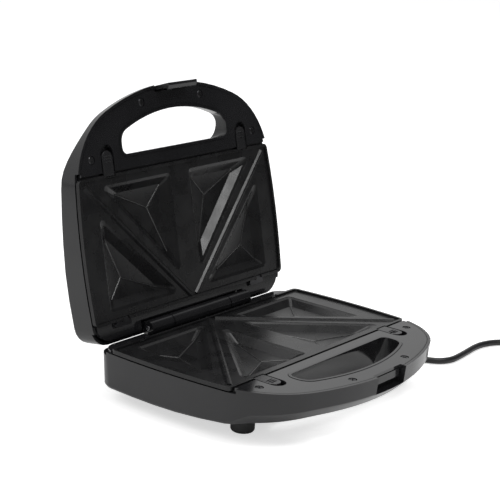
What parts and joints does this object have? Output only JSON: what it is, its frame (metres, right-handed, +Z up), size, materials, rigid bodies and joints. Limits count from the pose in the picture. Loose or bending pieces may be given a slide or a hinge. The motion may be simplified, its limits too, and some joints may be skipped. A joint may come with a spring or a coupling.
{
  "type": "sandwich toaster",
  "caption": "Sandwich toaster standing open, with bowed black housings, triangular-pocket plates, handle bars with finger holes, a front latch and its mains cord.",
  "frame": {"origin": "centre under the open toaster, on the worktop, without its cord", "axes": "+Z up, -Y towards the handle, +X to the right as the user faces it"},
  "size_m": [0.4132, 0.3273, 0.2152],
  "materials": {
    "housing": "gloss",
    "inner_moulding": "gloss",
    "nonstick": "satin",
    "button": "satin",
    "foot_rubber": "matte",
    "bright_steel": "satin",
    "dark_steel": "satin",
    "heater_steel": "satin",
    "tinplate": "satin",
    "ceramic": "matte",
    "lens_red": "clear lens",
    "lens_green": "clear lens",
    "cord_cover": "satin",
    "plug_moulding": "satin",
    "pin_metal": "bright"
  },
  "bodies": {
    "base": {"base_shell": "housing", "base_frame": "inner_moulding", "base_plate": "nonstick", "base_heater": "heater_steel", "base_reflector": "tinplate", "base_plate_clips": "bright_steel", "base_screws": "dark_steel", "foot_front_left": "foot_rubber", "foot_front_right": "foot_rubber", "foot_rear_left": "foot_rubber", "foot_rear_right": "foot_rubber", "hinge_pin": "bright_steel", "thermostat": "tinplate", "thermal_fuse": "ceramic", "terminal_block": "ceramic", "strain_relief": "cord_cover", "mains_cord": "cord_cover", "mains_cord_coil": "cord_cover", "mains_plug": "plug_moulding", "plug_pins": "pin_metal"},
    "lid": {"lid_shell": "housing", "lid_frame": "inner_moulding", "lid_plate": "nonstick", "lid_heater": "heater_steel", "lid_reflector": "tinplate", "lid_plate_clips": "bright_steel", "lid_screws": "dark_steel", "lamp_power": "lens_red", "lamp_ready": "lens_green", "latch_pin": "bright_steel", "latch_spring": "bright_steel"},
    "latch": {"latch": "button"},
    "base_button_left": {"base_button_left": "button"},
    "base_button_right": {"base_button_right": "button"},
    "lid_button_left": {"lid_button_left": "button"},
    "lid_button_right": {"lid_button_right": "button"}
  },
  "joints": [
    {"name": "lid_hinge", "type": "hinge", "parent": "base", "child": "lid", "pos_m": [0, 0.0632, 0.0425], "axis": [1, 0, 0], "range_deg": [0, 103]},
    {"name": "latch_pivot", "type": "hinge", "parent": "lid", "child": "latch", "pos_m": [0, 0.10742, 0.20471], "axis": [1, 0, 0], "range_deg": [0, 6]},
    {"name": "base_left_release", "type": "slide", "parent": "base", "child": "base_button_left", "axis": [0, -1, 0], "range_m": [0, 0.003]},
    {"name": "base_right_release", "type": "slide", "parent": "base", "child": "base_button_right", "axis": [0, -1, 0], "range_m": [0, 0.003]},
    {"name": "lid_left_release", "type": "slide", "parent": "lid", "child": "lid_button_left", "axis": [0, 0.225, 0.9744], "range_m": [0, 0.003]},
    {"name": "lid_right_release", "type": "slide", "parent": "lid", "child": "lid_button_right", "axis": [0, 0.225, 0.9744], "range_m": [0, 0.003]}
  ]
}
